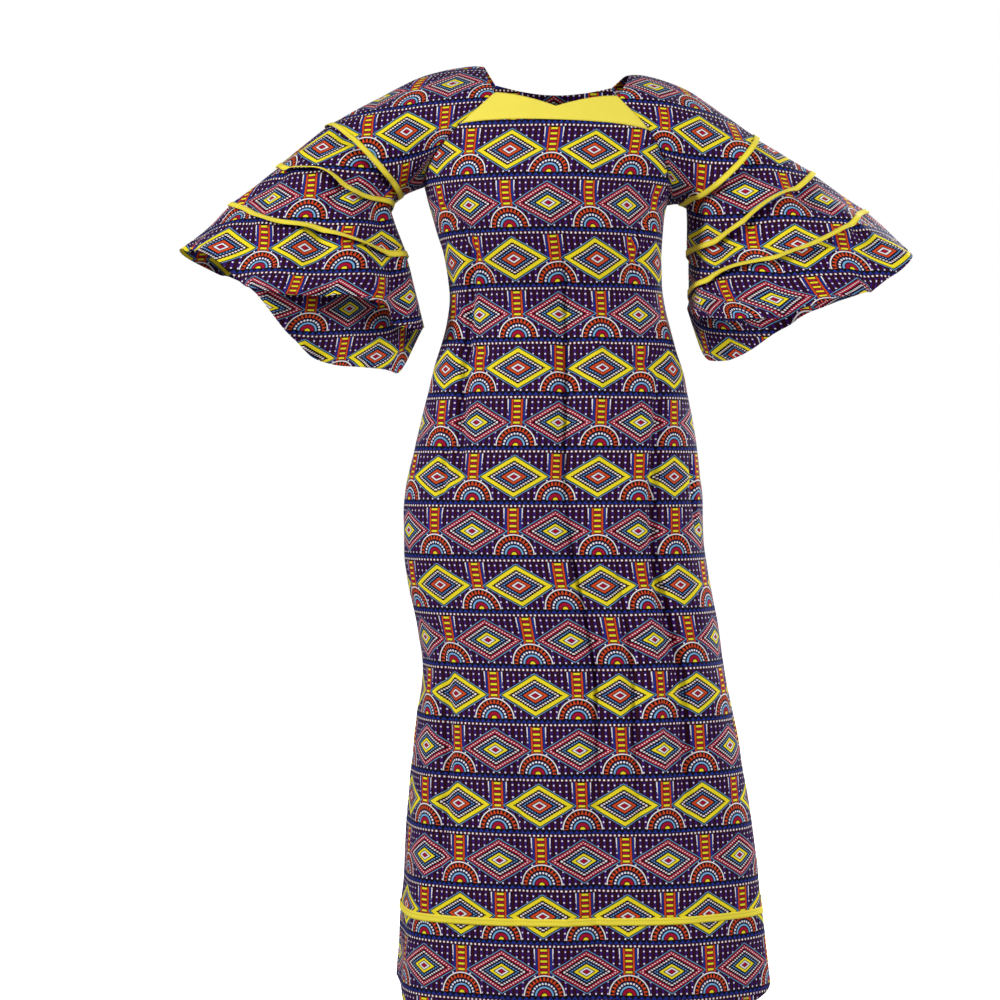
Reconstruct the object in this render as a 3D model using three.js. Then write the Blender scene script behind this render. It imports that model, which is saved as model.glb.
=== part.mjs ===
// A full-length wax-print cotton dress, worn, with no wearer: a raglan-sleeved body that follows a
// general figure, a plain yellow neck insert with a sweetheart edge, and on each sleeve three
// flounces, each edged with a yellow band. Millimetres, +Z up, front towards -Y. The origin is
// midway between the tops of the two shoulders, beside the neck, where the wearer holds it up.
// The wearer's right sleeve is on the -X side and the left one on the +X side.
import * as THREE from "three";

// ---------------------------------------------------------------- driving sizes
const CLOTH = 1.5; // wall of every cloth piece
const BAND = 1.2; // wall of the yellow bands
const SEAM_GAP = 0.3; // clear space between neighbouring pieces
const BAND_GAP = 0.6; // clear space under a band, for the twist of its facets
const SEAM_INSET = 1.1; // a raglan edge's distance from the seam line, where two walls meet at an angle
const BAND_FROM_CLOTH = (CLOTH + BAND) / 2 + BAND_GAP; // between the middles of a band and its cloth
const SLEEVE_BAND_HEIGHT = 9;
const HEM_BAND_HEIGHT = 11;
const HEM_BAND_Z = -1269; // middle of the band above the skirt's hem
const HEM_Z = -1424;
const HEM_RISE = 50; // how much higher the hem is at the side seams
const UNDERARM_Z = -173;
const FRONT_NECK_Z = -27; // where the front raglan seams reach the neck
const BACK_NECK_Z = 8; // where the back raglan seams reach the neck
const RAGLAN_CLIMB = 1.5; // a raglan seam's height goes as this power of the way along it
const RAGLAN_SWING = 0.95; // and its turn round the body as this one
const HEM_RISE_POWER = 6; // the larger, the closer the hem's rise keeps to the side seams
const INSERT_ARCH = 8; // how much higher the insert's bottom seam is at the middle than at its corners
const ARCH_POWER = 3; // how flat that arch is in the middle
const HEART_DROP = 21; // how far the sweetheart point lies under the insert's corners
const HEART_POWER = 1.7; // how sharp the sweetheart point is
const BACK_NECK_DROP = 12;
const FRONT_SEAM_TURN = 66; // degrees from the side to the front neck corner, round the body's ring
const BACK_SEAM_TURN = 67;
const LAP = 11; // how far above a tier's lower edge the next tier is sewn under it
const LAP_GAP = 0.9; // clear space between the two tiers there
const LIP = 3; // how far past the edge above a tier runs before it turns down

// Rings of the body from the neck to the hem. half is the half width, front and back the reach
// before and behind midY, square the roundness (2 is an ellipse), tilt the drop per mm towards +X.
const BODY_COLUMNS = ["z", "midX", "half", "front", "back", "square", "tilt"];
const BODY_ROWS = [
  [20, 2, 232, 78, 80, 2, 0.02],
  [-20, 3, 230, 90, 96, 2, 0.028],
  [-72, 1, 225, 118, 110, 2, 0.03],
  [-131, -6, 206, 138, 118, 2, 0.06],
  [-173, -12, 187, 147, 117, 2, 0.078],
  [-220, -7, 177, 149, 111, 2.05, 0.05],
  [-277, 1, 167, 136, 101, 2.1, 0.02],
  [-341, 6, 166, 119, 96, 2.15, 0],
  [-403, 8, 180, 122, 108, 2.2, 0],
  [-465, 8, 198, 128, 124, 2.2, 0],
  [-542, 5, 214, 134, 139, 2.2, 0],
  [-635, 1, 229, 138, 149, 2.25, 0],
  [-728, 3, 233, 142, 152, 2.3, 0],
  [-821, 19, 233, 146, 150, 2.3, 0],
  [-899, 32, 234, 150, 149, 2.35, 0],
  [-976, 35, 246, 156, 153, 2.35, 0],
  [-1070, 39, 260, 163, 160, 2.4, 0],
  [-1224, 44, 277, 174, 171, 2.6, 0],
  [-1424, 48, 293, 184, 182, 2.8, -0.045],
];

// The largest vertical folds. turn is in degrees round the ring from the right side seam, with 90 at
// the centre front and 270 at the centre back, and lean is how far turn shifts on the way down.
const FOLD_COLUMNS = ["turn", "top", "bottom", "lean", "width", "depth"];
const FOLD_ROWS = [
  [92, -200, -860, 3, 9, 6],
  [50, -270, -700, -4, 8, 5],
  [122, -640, -1260, 6, 8, 6],
  [268, -240, -900, -3, 9, 6],
  [310, -420, -1000, 5, 9, 5],
  [228, -560, -1240, -5, 9, 6],
];
// Soft flutes that open towards the hem.
const FLUTES = { count: 9, depth: 8, phase: 0.9, from: -640, growth: 1.5 };

// Rings of a sleeve: its lower edge, then the lower edges of the three flounces. outer is the end
// away from the body and inner the end beside it, and front and back are the reach before and behind
// midY. The edge hangs past the straight line from outer to inner by bow, and at the back by drop
// more, plus lean towards the inner end. sway and ruffle are the waves of the edge, along the sleeve
// and across it, with their number and the turn in degrees of one crest, 90 being the front.
const RING_COLUMNS = [
  "outerX", "outerZ", "innerX", "innerZ", "midY", "front", "back", "bow", "drop", "lean",
  "sway", "swayCount", "swayTurn", "ruffle", "ruffleCount", "ruffleTurn",
];
const SLEEVE_ROWS = {
  right: [
    [-353, -67, -240, -177, 0, 74, 78, -11, 20, 0, 0, 2, 90, 0, 5, 90],
    [-428, -129, -249, -192, -2, 92, 96, 1, 18, 6, 7, 4, 58, 3, 6, 75],
    [-496, -191, -225, -268, -4, 114, 120, 12, 32, 14, 5, 4, 40, 7, 7, 118],
    [-572, -256, -200, -375, -6, 146, 150, 12, 55, 34, 20, 4, 105, 9, 8, 100],
  ],
  left: [
    [316, -84, 203, -186, 0, 74, 78, 16, 0, 0, 0, 2, 90, 0, 5, 90],
    [403, -141, 209, -265, -2, 92, 96, 9, 12, 6, 4, 4, 52, 3, 6, 110],
    [484, -202, 209, -327, -4, 114, 120, 3, 24, 18, 14, 2, 115, 7, 7, 84],
    [549, -250, 206, -347, -6, 146, 150, 58, 0, 70, 5, 4, 130, 9, 8, 62],
  ],
};
const BACK_DROP_IN = 0.5; // the share of the back's reach over which its drop sets in
const BOW_POWER = 1.2; // how round the bow of an edge is
const RUFFLE_SHARE = { everywhere: 0.65, outerEnd: 0.35 }; // the outer end of a flounce ruffles most

// How a sleeve leaves the armhole and arrives at its edge: least is at the underarm, and top is what
// the top of the sleeve adds. sideways turns its start away from the body, fullness is the length of
// its start and flare turns its end square to the edge.
const SLEEVE_CURVE = {
  sideways: { least: 0.25, top: 0.7 },
  fullness: { least: 0.9, top: 0.25 },
  flare: { least: 0.55, top: -0.35 },
};
const SHOULDER_LIFT = 0.04; // upwards for each mm sideways, where the top of the sleeve starts
const SHOULDER = {
  right: { x: -107, z: 27 },
  left: { x: 116, z: 14 },
};

// How finely the pieces are cut into facets. The raglan seams have the same number of steps on the
// sleeve as on the panels, so the two edges run side by side.
const SEAM_STEPS = 12;
const INSERT_SEAM_STEPS = 3; // steps of the front raglan seam that lie beside the insert
const NECK_STEPS = 4;
const BODY_STEPS = 14; // from the hem to the underarm
const PANEL_COLUMNS = 16;
const SLEEVE_STEPS = 6;
const FLOUNCE_STEPS = 3;
const ROUND_SLEEVE = 2 * SEAM_STEPS + NECK_STEPS;

// ---------------------------------------------------------------- materials
const printed = new THREE.MeshStandardMaterial({ color: 0x4a2440, roughness: 0.82, metalness: 0 });
const yellow = new THREE.MeshStandardMaterial({ color: 0xf2ea3e, roughness: 0.8, metalness: 0 });

// ---------------------------------------------------------------- small tools
const { lerp, degToRad, clamp, smoothstep } = THREE.MathUtils;
const vector = (x, y, z) => new THREE.Vector3(x, y, z);
const named = (columns, rows) => rows.map((row) => Object.fromEntries(row.map((v, i) => [columns[i], v])));

const BODY = named(BODY_COLUMNS, BODY_ROWS);
const FOLDS = named(FOLD_COLUMNS, FOLD_ROWS);
const SLEEVES = {
  right: named(RING_COLUMNS, SLEEVE_ROWS.right),
  left: named(RING_COLUMNS, SLEEVE_ROWS.left),
};

// A cubic with the given ends and end slopes.
function hermite(p0, p1, m0, m1, t) {
  const a = 2 * t ** 3 - 3 * t ** 2 + 1;
  const b = t ** 3 - 2 * t ** 2 + t;
  const c = t ** 3 - t ** 2;
  return a * p0 + (1 - a) * p1 + b * m0 + c * m1;
}

// Every column of a table whose z falls from row to row, smoothly between rows.
function rowAt(table, z) {
  const last = table.length - 1;
  let i = table.findIndex((row) => row.z <= z) - 1;
  i = clamp(i < -1 ? last - 1 : i, 0, last - 1);
  const slope = (k, column) => {
    const above = table[Math.max(k - 1, 0)];
    const below = table[Math.min(k + 1, last)];
    return (below[column] - above[column]) / (below.z - above.z);
  };
  const span = table[i + 1].z - table[i].z;
  const t = clamp((z - table[i].z) / span, 0, 1);
  const made = { z };
  for (const column of Object.keys(table[0]).slice(1)) {
    made[column] = hermite(
      table[i][column],
      table[i + 1][column],
      slope(i, column) * span,
      slope(i + 1, column) * span,
      t,
    );
  }
  return made;
}

// The outward unit normal of point(u, v), for a surface seen from outside with u to the right and v up.
function normalAt(point, u, v) {
  const step = 1e-3;
  const across = point(u + step, v).sub(point(u - step, v));
  const up = point(u, v + step).sub(point(u, v - step));
  return across.cross(up).normalize();
}

// Moves every vertex of a slab of unit size onto the surface: u across, v up, side -0.5 to 0.5 through
// the wall.
function bend(slab, place, point, thickness, lift) {
  const at = slab.getAttribute("position");
  for (let i = 0; i < at.count; i++) {
    const { u, v, side } = place(at.getX(i), at.getY(i), at.getZ(i));
    const normal = normalAt(point, u, v);
    const p = point(u, v).addScaledVector(normal, lift + side * thickness);
    at.setXYZ(i, p.x, p.y, p.z);
  }
  slab.deleteAttribute("normal");
  slab.deleteAttribute("uv");
  slab.computeVertexNormals();
  return slab;
}

// A panel of cloth with four edges.
function panelWall(point, columns, rows, thickness = CLOTH, lift = 0) {
  const slab = new THREE.BoxGeometry(1, 1, 1, columns, rows, 1);
  return bend(slab, (x, y, z) => ({ u: x + 0.5, v: y + 0.5, side: z }), point, thickness, lift);
}

// A closed tube of cloth: a ring of rectangular section, bent onto the surface.
function ringWall(point, columns, rows, thickness = CLOTH, lift = 0) {
  const inner = 1;
  const outer = 2;
  const profile = [];
  for (let k = 0; k <= rows; k++) profile.push(new THREE.Vector2(outer, k / rows));
  for (let k = rows; k >= 0; k--) profile.push(new THREE.Vector2(inner, k / rows));
  profile.push(profile[0].clone());
  const slab = new THREE.LatheGeometry(profile, columns);
  const place = (x, y, z) => {
    const step = Math.round((Math.atan2(x, z) / (2 * Math.PI)) * columns);
    return { u: ((step + columns) % columns) / columns, v: y, side: Math.hypot(x, z) - (inner + outer) / 2 };
  };
  return bend(slab, place, point, thickness, lift);
}

function cloth(name, geometry, material) {
  const mesh = new THREE.Mesh(geometry, material);
  mesh.name = name;
  return mesh;
}

// ---------------------------------------------------------------- body
function foldDepth(turn, z) {
  let depth = 0;
  for (const fold of FOLDS) {
    const down = (z - fold.top) / (fold.bottom - fold.top);
    if (down <= 0 || down >= 1) continue;
    const off = (turn - fold.turn - fold.lean * down) / fold.width;
    depth += fold.depth * Math.sin(Math.PI * down) * Math.exp(-off * off);
  }
  const open = clamp((FLUTES.from - z) / (FLUTES.from - HEM_Z), 0, 1);
  const flute = Math.cos(FLUTES.count * degToRad(turn) + FLUTES.phase);
  return depth + FLUTES.depth * open ** FLUTES.growth * (0.5 - 0.5 * flute);
}

// A point of the body at a height and a turn in degrees from the right side seam through the front.
function bodyPoint(turn, z) {
  const ring = rowAt(BODY, z);
  const angle = degToRad(turn);
  const c = Math.cos(angle);
  const s = Math.sin(angle);
  const round = (Math.abs(c) ** ring.square + Math.abs(s) ** ring.square) ** (-1 / ring.square);
  const reach = s > 0 ? ring.front : ring.back;
  const inward = foldDepth(turn, z);
  const x = ring.midX - (ring.half - inward) * c * round;
  const y = -(reach - inward) * s * round;
  return vector(x, y, z - ring.tilt * x);
}

// Along a raglan seam, w runs from 0 at the underarm to 1 at the neck.
const seamZ = (w, neckZ) => UNDERARM_Z + (neckZ - UNDERARM_Z) * w ** RAGLAN_CLIMB;
const seamTurn = (w, neckTurn) => neckTurn * w ** RAGLAN_SWING;
const INSERT_SEAM_AT = 1 - INSERT_SEAM_STEPS / SEAM_STEPS;

// Height and turn of a panel's edge, for steps counted from the hem.
function edgeAt(steps, neckZ, neckTurn) {
  if (steps <= BODY_STEPS) return { z: lerp(HEM_Z, UNDERARM_Z, steps / BODY_STEPS), turn: 0 };
  const w = (steps - BODY_STEPS) / SEAM_STEPS;
  return { z: seamZ(w, neckZ), turn: seamTurn(w, neckTurn) };
}

// Degrees of turn that are as long as a distance on the body.
function turnOf(distance, turn, z) {
  const ahead = bodyPoint(turn + 0.5, z);
  return (distance * 0.5) / ahead.distanceTo(bodyPoint(turn, z));
}

// The point across a panel from one edge, at u 0, to the other, each kept clear of its seam line.
function acrossPanel(u, edge, from, inset, rise) {
  const start = from + edge.turn;
  const end = from + 180 - edge.turn;
  const turn = lerp(start + turnOf(inset, start, edge.z), end - turnOf(inset, end, edge.z), u);
  return bodyPoint(turn, edge.z + rise);
}

// What a seam needs: little at the straight side seams, more where the walls meet at an angle.
function insetAt(steps) {
  return lerp(SEAM_GAP / 2, SEAM_INSET, smoothstep(steps, BODY_STEPS - 1, BODY_STEPS));
}

function hemRise(turn, z) {
  const side = Math.cos(degToRad(turn)) ** HEM_RISE_POWER;
  return HEM_RISE * side * smoothstep(-z, -HEM_BAND_Z, -HEM_Z);
}

const middle = (u) => 1 - Math.abs(2 * u - 1);
const insertArch = (u) => INSERT_ARCH * (1 - (1 - middle(u)) ** ARCH_POWER);

// u runs from the right side seam to the left one, across the front.
const FRONT_STEPS = BODY_STEPS + SEAM_STEPS - INSERT_SEAM_STEPS;
function frontPoint(u, v) {
  const steps = v * FRONT_STEPS;
  const edge = edgeAt(steps, FRONT_NECK_Z, FRONT_SEAM_TURN);
  const arch = insertArch(u) * smoothstep(steps, BODY_STEPS, FRONT_STEPS);
  return acrossPanel(u, edge, 0, insetAt(steps), hemRise(180 * u, edge.z) + arch);
}

// u runs from the left side seam to the right one, across the back.
const BACK_STEPS = BODY_STEPS + SEAM_STEPS;
function backPoint(u, v) {
  const steps = v * BACK_STEPS;
  const edge = edgeAt(steps, BACK_NECK_Z, BACK_SEAM_TURN);
  const scoop = Math.sin(Math.PI * clamp(u, 0, 1)) * smoothstep(steps, BODY_STEPS, BACK_STEPS);
  const rise = hemRise(180 * u, edge.z) - BACK_NECK_DROP * scoop;
  return acrossPanel(u, edge, 180, insetAt(steps), rise);
}

function insertPoint(u, v) {
  const w = lerp(INSERT_SEAM_AT, 1, v);
  const edge = { z: seamZ(w, FRONT_NECK_Z), turn: seamTurn(w, FRONT_SEAM_TURN) };
  const heart = HEART_DROP * Math.max(middle(u), 0) ** HEART_POWER * v;
  return acrossPanel(u, edge, 0, SEAM_INSET, (insertArch(u) + SEAM_GAP) * (1 - v) - heart);
}

function hemBandPoint(u, v) {
  return bodyPoint(360 * u, HEM_BAND_Z + HEM_BAND_HEIGHT * (v - 0.5));
}

// ---------------------------------------------------------------- sleeves
// turn goes once round a sleeve: 0 at the underarm, 0.25 at the front, 0.5 on top and 0.75 behind.
const sideSign = { right: -1, left: 1 };
const FRONT_NECK_TURN = SEAM_STEPS / ROUND_SLEEVE;
const BACK_NECK_TURN = 1 - FRONT_NECK_TURN;

// The loop that a sleeve is sewn to: up the front raglan seam, over the shoulder and down the back one.
function armholePoint(side, turn) {
  const mirrored = (t) => (side === "right" ? t : 180 - t);
  if (turn < FRONT_NECK_TURN) {
    const w = turn / FRONT_NECK_TURN;
    return bodyPoint(mirrored(seamTurn(w, FRONT_SEAM_TURN)), seamZ(w, FRONT_NECK_Z));
  }
  if (turn > BACK_NECK_TURN) {
    const w = (1 - turn) / (1 - BACK_NECK_TURN);
    return bodyPoint(mirrored(-seamTurn(w, BACK_SEAM_TURN)), seamZ(w, BACK_NECK_Z));
  }
  const front = bodyPoint(mirrored(FRONT_SEAM_TURN), FRONT_NECK_Z);
  const back = bodyPoint(mirrored(-BACK_SEAM_TURN), BACK_NECK_Z);
  const top = vector(SHOULDER[side].x, 0, SHOULDER[side].z);
  const between = front.clone().add(back).multiplyScalar(0.5);
  const peak = top.multiplyScalar(2).sub(between); // so that the curve's middle is the shoulder
  const over = new THREE.QuadraticBezierCurve3(front, peak, back);
  return over.getPoint((turn - FRONT_NECK_TURN) / (BACK_NECK_TURN - FRONT_NECK_TURN));
}

// The directions of a ring: along from outer to inner, and out past its edge.
function ringAxes(ring) {
  const along = vector(ring.innerX - ring.outerX, 0, ring.innerZ - ring.outerZ);
  const length = along.length();
  along.normalize();
  const out = vector(along.z, 0, -along.x);
  if (out.z > 0) out.negate();
  return { along, out, length };
}

function ringPoint(ring, turn) {
  const { along, out, length } = ringAxes(ring);
  const degrees = 360 * turn;
  const c = Math.cos(degToRad(degrees));
  const s = Math.sin(degToRad(degrees));
  const crest = (count, at) => Math.cos(degToRad(count * (degrees - at)));
  const share = RUFFLE_SHARE.everywhere - RUFFLE_SHARE.outerEnd * c;
  const ruffle = ring.ruffle * share * crest(ring.ruffleCount, ring.ruffleTurn);
  const hang = ring.drop * smoothstep(c, -1, 0) + ring.lean * Math.max(c, 0);
  const sway = ring.sway * Math.abs(s) * crest(ring.swayCount, ring.swayTurn);
  const reach = s > 0 ? ring.front : ring.back;
  const past = ring.bow * Math.abs(s) ** BOW_POWER + hang * smoothstep(-s, 0, BACK_DROP_IN) + sway;
  return vector((ring.outerX + ring.innerX) / 2, ring.midY, (ring.outerZ + ring.innerZ) / 2)
    .addScaledVector(along, (length / 2 + ruffle) * c)
    .add(vector(0, -(reach + ruffle) * s, 0))
    .addScaledVector(out, past);
}

// The height above an edge of a step: the first is as high as the band, and the rest are even.
function stepHeight(step, steps, length) {
  if (step <= 1) return step * SLEEVE_BAND_HEIGHT;
  return lerp(SLEEVE_BAND_HEIGHT, length, (step - 1) / (steps - 1));
}

// The sleeve from its armhole, at v 1, to its lower edge, at v 0.
function sleevePoint(side, turn, v) {
  const at = ((turn % 1) + 1) % 1;
  const ring = SLEEVES[side][0];
  const { out } = ringAxes(ring);
  const end = ringPoint(ring, at);
  const start = armholePoint(side, at);
  const along = end.clone().sub(start);
  const distance = along.length();
  along.normalize();
  const top = 0.5 - 0.5 * Math.cos(2 * Math.PI * at);
  const { sideways, fullness, flare } = SLEEVE_CURVE;
  const away = vector(sideSign[side], 0, SHOULDER_LIFT);
  const leave = along.clone().lerp(away, sideways.least + sideways.top * top ** 2).normalize();
  const arrive = along.clone().lerp(out, flare.least + flare.top * top).normalize();
  leave.multiplyScalar(distance * (fullness.least + fullness.top * top));
  arrive.multiplyScalar(distance);
  const reach = distance - SEAM_INSET;
  const t = 1 - stepHeight(v * SLEEVE_STEPS, SLEEVE_STEPS, reach) / distance;
  return vector(
    ...["x", "y", "z"].map((axis) => hermite(start[axis], end[axis], leave[axis], arrive[axis], t)),
  );
}

// At a tier's lower edge: the point, the way up the cloth and the way out of it.
function edgeFrame(side, tier, turn) {
  const step = 1e-3;
  const ring = SLEEVES[side][tier];
  const edge = ringPoint(ring, turn);
  const across = ringPoint(ring, turn + step).sub(ringPoint(ring, turn - step));
  const above = tier === 0 ? sleevePoint(side, turn, 1 / SLEEVE_STEPS) : underTier(side, tier, turn, -LIP);
  const up = above.sub(edge).normalize();
  const out = across.cross(up).multiplyScalar(sideSign[side]).normalize();
  return { edge, up, out };
}

function beside({ edge, up, out }, height, lift) {
  return edge.clone().addScaledVector(up, height).addScaledVector(out, lift);
}

// A point of a flounce where it runs under the tier above, some way above that tier's edge.
function underTier(side, tier, turn, height) {
  return beside(edgeFrame(side, tier - 1, turn), height, -(CLOTH + LAP_GAP));
}

// The sleeve is tier 0 and the flounces are tiers 1 to 3. v is 0 at the lower edge and 1 at the top.
// A flounce has three steps: beside its band, hanging, and under the tier above.
function tierPoint(side, tier, turn, v) {
  if (tier === 0) return sleevePoint(side, turn, v);
  const lip = underTier(side, tier, turn, -LIP);
  const step = v * FLOUNCE_STEPS;
  if (step > 2) return lip.lerp(underTier(side, tier, turn, LAP), step - 2);
  const edge = ringPoint(SLEEVES[side][tier], turn);
  const height = stepHeight(step, 2, edge.distanceTo(lip));
  return edge.addScaledVector(lip.sub(edge).normalize(), height);
}

// ---------------------------------------------------------------- the dress
const dress = new THREE.Group();

dress.add(cloth("front_panel", panelWall(frontPoint, PANEL_COLUMNS, FRONT_STEPS), printed));
dress.add(cloth("back_panel", panelWall(backPoint, PANEL_COLUMNS, BACK_STEPS), printed));
dress.add(cloth("neck_insert", panelWall(insertPoint, PANEL_COLUMNS, INSERT_SEAM_STEPS), yellow));
const hemBand = ringWall(hemBandPoint, 2 * PANEL_COLUMNS, 1, BAND, BAND_FROM_CLOTH);
dress.add(cloth("hem_band", hemBand, yellow));

for (const side of ["right", "left"]) {
  const sign = sideSign[side];
  for (let tier = 0; tier <= 3; tier++) {
    const point = (u, v) => tierPoint(side, tier, sign * u, v);
    const steps = tier === 0 ? SLEEVE_STEPS : FLOUNCE_STEPS;
    const name = tier === 0 ? `sleeve_${side}` : `flounce_${tier}_${side}`;
    dress.add(cloth(name, ringWall(point, ROUND_SLEEVE, steps), printed));
    if (tier === 3) continue;
    const band = (u, v) => point(u, v / steps);
    const bandWall = ringWall(band, ROUND_SLEEVE, 1, BAND, BAND_FROM_CLOTH);
    dress.add(cloth(`band_${tier + 1}_${side}`, bandWall, yellow));
  }
}

export default dress;
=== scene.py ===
import math
from functools import lru_cache

import bmesh
import bpy
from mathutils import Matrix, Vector, noise


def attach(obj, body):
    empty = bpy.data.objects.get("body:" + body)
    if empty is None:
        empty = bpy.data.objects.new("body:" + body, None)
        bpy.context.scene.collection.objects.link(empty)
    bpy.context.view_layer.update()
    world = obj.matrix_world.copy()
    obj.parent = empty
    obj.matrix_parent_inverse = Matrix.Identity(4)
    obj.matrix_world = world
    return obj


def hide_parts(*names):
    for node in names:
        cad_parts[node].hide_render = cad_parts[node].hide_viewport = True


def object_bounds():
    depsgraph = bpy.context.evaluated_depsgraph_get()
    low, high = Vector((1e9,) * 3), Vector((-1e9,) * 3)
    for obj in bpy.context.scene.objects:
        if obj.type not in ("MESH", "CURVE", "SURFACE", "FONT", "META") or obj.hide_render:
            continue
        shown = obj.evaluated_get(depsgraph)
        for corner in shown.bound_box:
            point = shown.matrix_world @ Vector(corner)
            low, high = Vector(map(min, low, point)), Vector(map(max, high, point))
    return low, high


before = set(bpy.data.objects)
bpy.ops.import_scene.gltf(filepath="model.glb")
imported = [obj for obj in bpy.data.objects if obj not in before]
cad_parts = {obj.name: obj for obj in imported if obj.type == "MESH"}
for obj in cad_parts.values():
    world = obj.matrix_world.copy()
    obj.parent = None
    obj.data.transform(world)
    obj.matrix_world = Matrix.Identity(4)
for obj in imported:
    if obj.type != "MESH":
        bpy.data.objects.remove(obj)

CAD_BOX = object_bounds()

MM = 0.001
CLOTH_WALL = 1.0
BAND_WALL = 1.1
BAND_LIFT = 1.7  # from the middle of the cloth to the middle of a band on it
HEM_BAND_HALF = 755  # half of the hem band's way round

# ---------------------------------------------------------------- driving sizes, as in the solids
SEAM_INSET = 0.25  # a piece's edge from the seam line
SLEEVE_BAND_HEIGHT = 9
HEM_BAND_HEIGHT = 11
HEM_BAND_Z = -1269
HEM_Z = -1424
HEM_RISE = 50
UNDERARM_Z = -173
FRONT_NECK_Z = -27
BACK_NECK_Z = 8
RAGLAN_CLIMB = 1.5
RAGLAN_SWING = 0.95
HEM_RISE_POWER = 6
INSERT_ARCH = 8
ARCH_POWER = 3
HEART_DROP = 21
HEART_POWER = 1.7
BACK_NECK_DROP = 12
FRONT_SEAM_TURN = 66
BACK_SEAM_TURN = 67
LAP = 11  # how far above a tier's lower edge the next tier is sewn under it
LAP_DEPTH = 2.4  # from a tier's middle to the middle of the tier sewn under it
LIP = 3
SLEEVE_CURVE = {"sideways": (0.25, 0.7), "fullness": (0.9, 0.25), "flare": (0.55, -0.35)}
BACK_DROP_IN = 0.5
BOW_POWER = 1.2
RUFFLE_EVERYWHERE = 0.65
RUFFLE_OUTER_END = 0.35
SHOULDER_LIFT = 0.04
BODY_STEPS = 14
SEAM_STEPS = 12
INSERT_SEAM_STEPS = 3
NECK_STEPS = 4
FRONT_STEPS = BODY_STEPS + SEAM_STEPS - INSERT_SEAM_STEPS
BACK_STEPS = BODY_STEPS + SEAM_STEPS
INSERT_SEAM_AT = 1 - INSERT_SEAM_STEPS / SEAM_STEPS
FRONT_NECK_TURN = SEAM_STEPS / (2 * SEAM_STEPS + NECK_STEPS)
BACK_NECK_TURN = 1 - FRONT_NECK_TURN

# Rings of the body from the neck to the hem.
BODY_COLUMNS = ("z", "mid_x", "half", "front", "back", "square", "tilt")
BODY_ROWS = (
    (20, 2, 232, 78, 80, 2, 0.02),
    (-20, 3, 230, 90, 96, 2, 0.028),
    (-72, 1, 225, 118, 110, 2, 0.03),
    (-131, -6, 206, 138, 118, 2, 0.06),
    (-173, -12, 187, 147, 117, 2, 0.078),
    (-220, -7, 177, 149, 111, 2.05, 0.05),
    (-277, 1, 167, 136, 101, 2.1, 0.02),
    (-341, 6, 166, 119, 96, 2.15, 0),
    (-403, 8, 180, 122, 108, 2.2, 0),
    (-465, 8, 198, 128, 124, 2.2, 0),
    (-542, 5, 214, 134, 139, 2.2, 0),
    (-635, 1, 229, 138, 149, 2.25, 0),
    (-728, 3, 233, 142, 152, 2.3, 0),
    (-821, 19, 233, 146, 150, 2.3, 0),
    (-899, 32, 234, 150, 149, 2.35, 0),
    (-976, 35, 246, 156, 153, 2.35, 0),
    (-1070, 39, 260, 163, 160, 2.4, 0),
    (-1224, 44, 277, 174, 171, 2.6, 0),
    (-1424, 48, 293, 184, 182, 2.8, -0.045),
)

# The largest vertical folds of the body: turn in degrees from the right side seam through the front.
FOLD_COLUMNS = ("turn", "top", "bottom", "lean", "width", "depth")
FOLD_ROWS = (
    (92, -200, -860, 3, 9, 6),
    (50, -270, -700, -4, 8, 5),
    (122, -640, -1260, 6, 8, 6),
    (268, -240, -900, -3, 9, 6),
    (310, -420, -1000, 5, 9, 5),
    (228, -560, -1240, -5, 9, 6),
)
FLUTES = {"count": 9, "depth": 8, "phase": 0.9, "from": -640, "growth": 1.5}

# Lower edges of a sleeve and of its three flounces.
RING_COLUMNS = (
    "outer_x", "outer_z", "inner_x", "inner_z", "mid_y", "front", "back", "bow", "drop", "lean",
    "sway", "sway_count", "sway_turn", "ruffle", "ruffle_count", "ruffle_turn",
)
RING_ROWS = {
    "right": (
        (-353, -67, -240, -177, 0, 74, 78, -11, 20, 0, 0, 2, 90, 0, 5, 90),
        (-428, -129, -249, -192, -2, 92, 96, 1, 18, 6, 7, 4, 58, 3, 6, 75),
        (-496, -191, -225, -268, -4, 114, 120, 12, 32, 14, 5, 4, 40, 7, 7, 118),
        (-572, -256, -200, -375, -6, 146, 150, 12, 55, 34, 20, 4, 105, 9, 8, 100),
    ),
    "left": (
        (316, -84, 203, -186, 0, 74, 78, 16, 0, 0, 0, 2, 90, 0, 5, 90),
        (403, -141, 209, -265, -2, 92, 96, 9, 12, 6, 4, 4, 52, 3, 6, 110),
        (484, -202, 209, -327, -4, 114, 120, 3, 24, 18, 14, 2, 115, 7, 7, 84),
        (549, -250, 206, -347, -6, 146, 150, 58, 0, 70, 5, 4, 130, 9, 8, 62),
    ),
}
SHOULDER = {"right": (-107, 27), "left": (116, 14)}
SIDE_SIGN = {"right": -1, "left": 1}


def named(columns, rows):
    return [dict(zip(columns, row)) for row in rows]


BODY = named(BODY_COLUMNS, BODY_ROWS)
FOLDS = named(FOLD_COLUMNS, FOLD_ROWS)
RINGS = {side: named(RING_COLUMNS, rows) for side, rows in RING_ROWS.items()}


# ---------------------------------------------------------------- small tools
def clamp(value, low=0.0, high=1.0):
    return min(max(value, low), high)


def lerp(a, b, t):
    return a + (b - a) * t


def smoothstep(value, low, high):
    t = clamp((value - low) / (high - low))
    return t * t * (3 - 2 * t)


def hermite(p0, p1, m0, m1, t):
    """A cubic with the given ends and end slopes, of numbers or of vectors."""
    a = 2 * t**3 - 3 * t**2 + 1
    b = t**3 - 2 * t**2 + t
    c = t**3 - t**2
    return p0 * a + p1 * (1 - a) + m0 * b + m1 * c


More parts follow.
